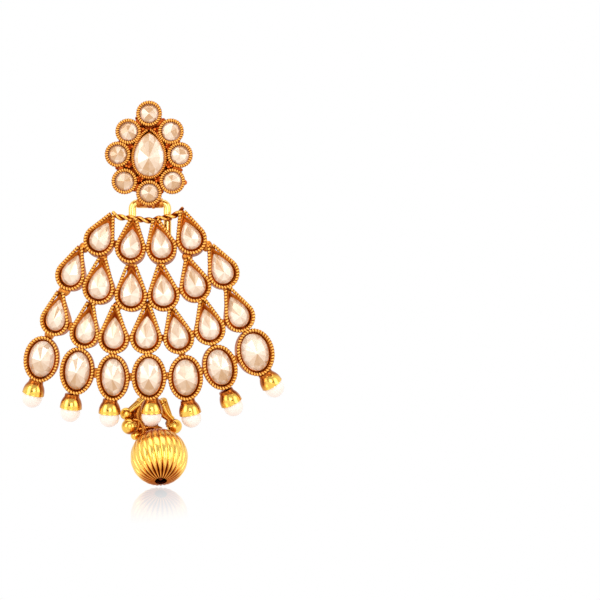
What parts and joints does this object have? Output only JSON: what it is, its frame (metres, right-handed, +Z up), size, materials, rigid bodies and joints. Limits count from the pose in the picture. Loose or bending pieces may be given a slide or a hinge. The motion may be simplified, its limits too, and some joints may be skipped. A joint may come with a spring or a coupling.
{
  "type": "drop earring",
  "caption": "Chandelier drop earring: flower stud on a post, swinging domed panel of 24 stone settings, seven capped pearls and a ribbed gold ball.",
  "frame": {"origin": "centre of the ear post where it leaves the flat back of the flower stud", "axes": "+Z up as worn, the front faces -Y, the ear post points along +Y"},
  "size_m": [0.0473, 0.016, 0.069],
  "materials": {
    "antique_gold": "antiqued gold plate, satin with dark recesses",
    "bright_gold": "polished gold plate",
    "champagne_stone": "faceted, foil backed, polished",
    "cream_pearl": "pearl lustre"
  },
  "bodies": {
    "stud": {"centre_stone": "champagne_stone", "ear_post": "bright_gold", "stud_frame": "antique_gold"},
    "drop": {"ball_pin": "bright_gold", "bead_strand_left": "bright_gold", "bead_strand_right": "bright_gold", "drop_frame": "antique_gold", "jump_ring": "bright_gold", "oval_stone_1": "champagne_stone", "oval_stone_2": "champagne_stone", "oval_stone_3": "champagne_stone", "oval_stone_4": "champagne_stone", "oval_stone_5": "champagne_stone", "oval_stone_6": "champagne_stone", "oval_stone_7": "champagne_stone", "pearl_1": "cream_pearl", "pearl_2": "cream_pearl", "pearl_3": "cream_pearl", "pearl_4": "cream_pearl", "pearl_5": "cream_pearl", "pearl_6": "cream_pearl", "pearl_7": "cream_pearl", "ribbed_ball": "bright_gold", "tear_stone_1_1": "champagne_stone", "tear_stone_1_2": "champagne_stone", "tear_stone_1_3": "champagne_stone", "tear_stone_1_4": "champagne_stone", "tear_stone_2_1": "champagne_stone", "tear_stone_2_2": "champagne_stone", "tear_stone_2_3": "champagne_stone", "tear_stone_2_4": "champagne_stone", "tear_stone_2_5": "champagne_stone", "tear_stone_2_6": "champagne_stone", "tear_stone_3_1": "champagne_stone", "tear_stone_3_2": "champagne_stone", "tear_stone_3_3": "champagne_stone", "tear_stone_3_4": "champagne_stone", "tear_stone_3_5": "champagne_stone", "tear_stone_3_6": "champagne_stone", "tear_stone_3_7": "champagne_stone"}
  },
  "joints": [
    {"name": "drop_swing", "type": "hinge", "parent": "stud", "child": "drop", "pos_m": [0, 0.001, -0.0086], "axis": [1, 0, 0], "range_deg": [-42, 145]}
  ]
}
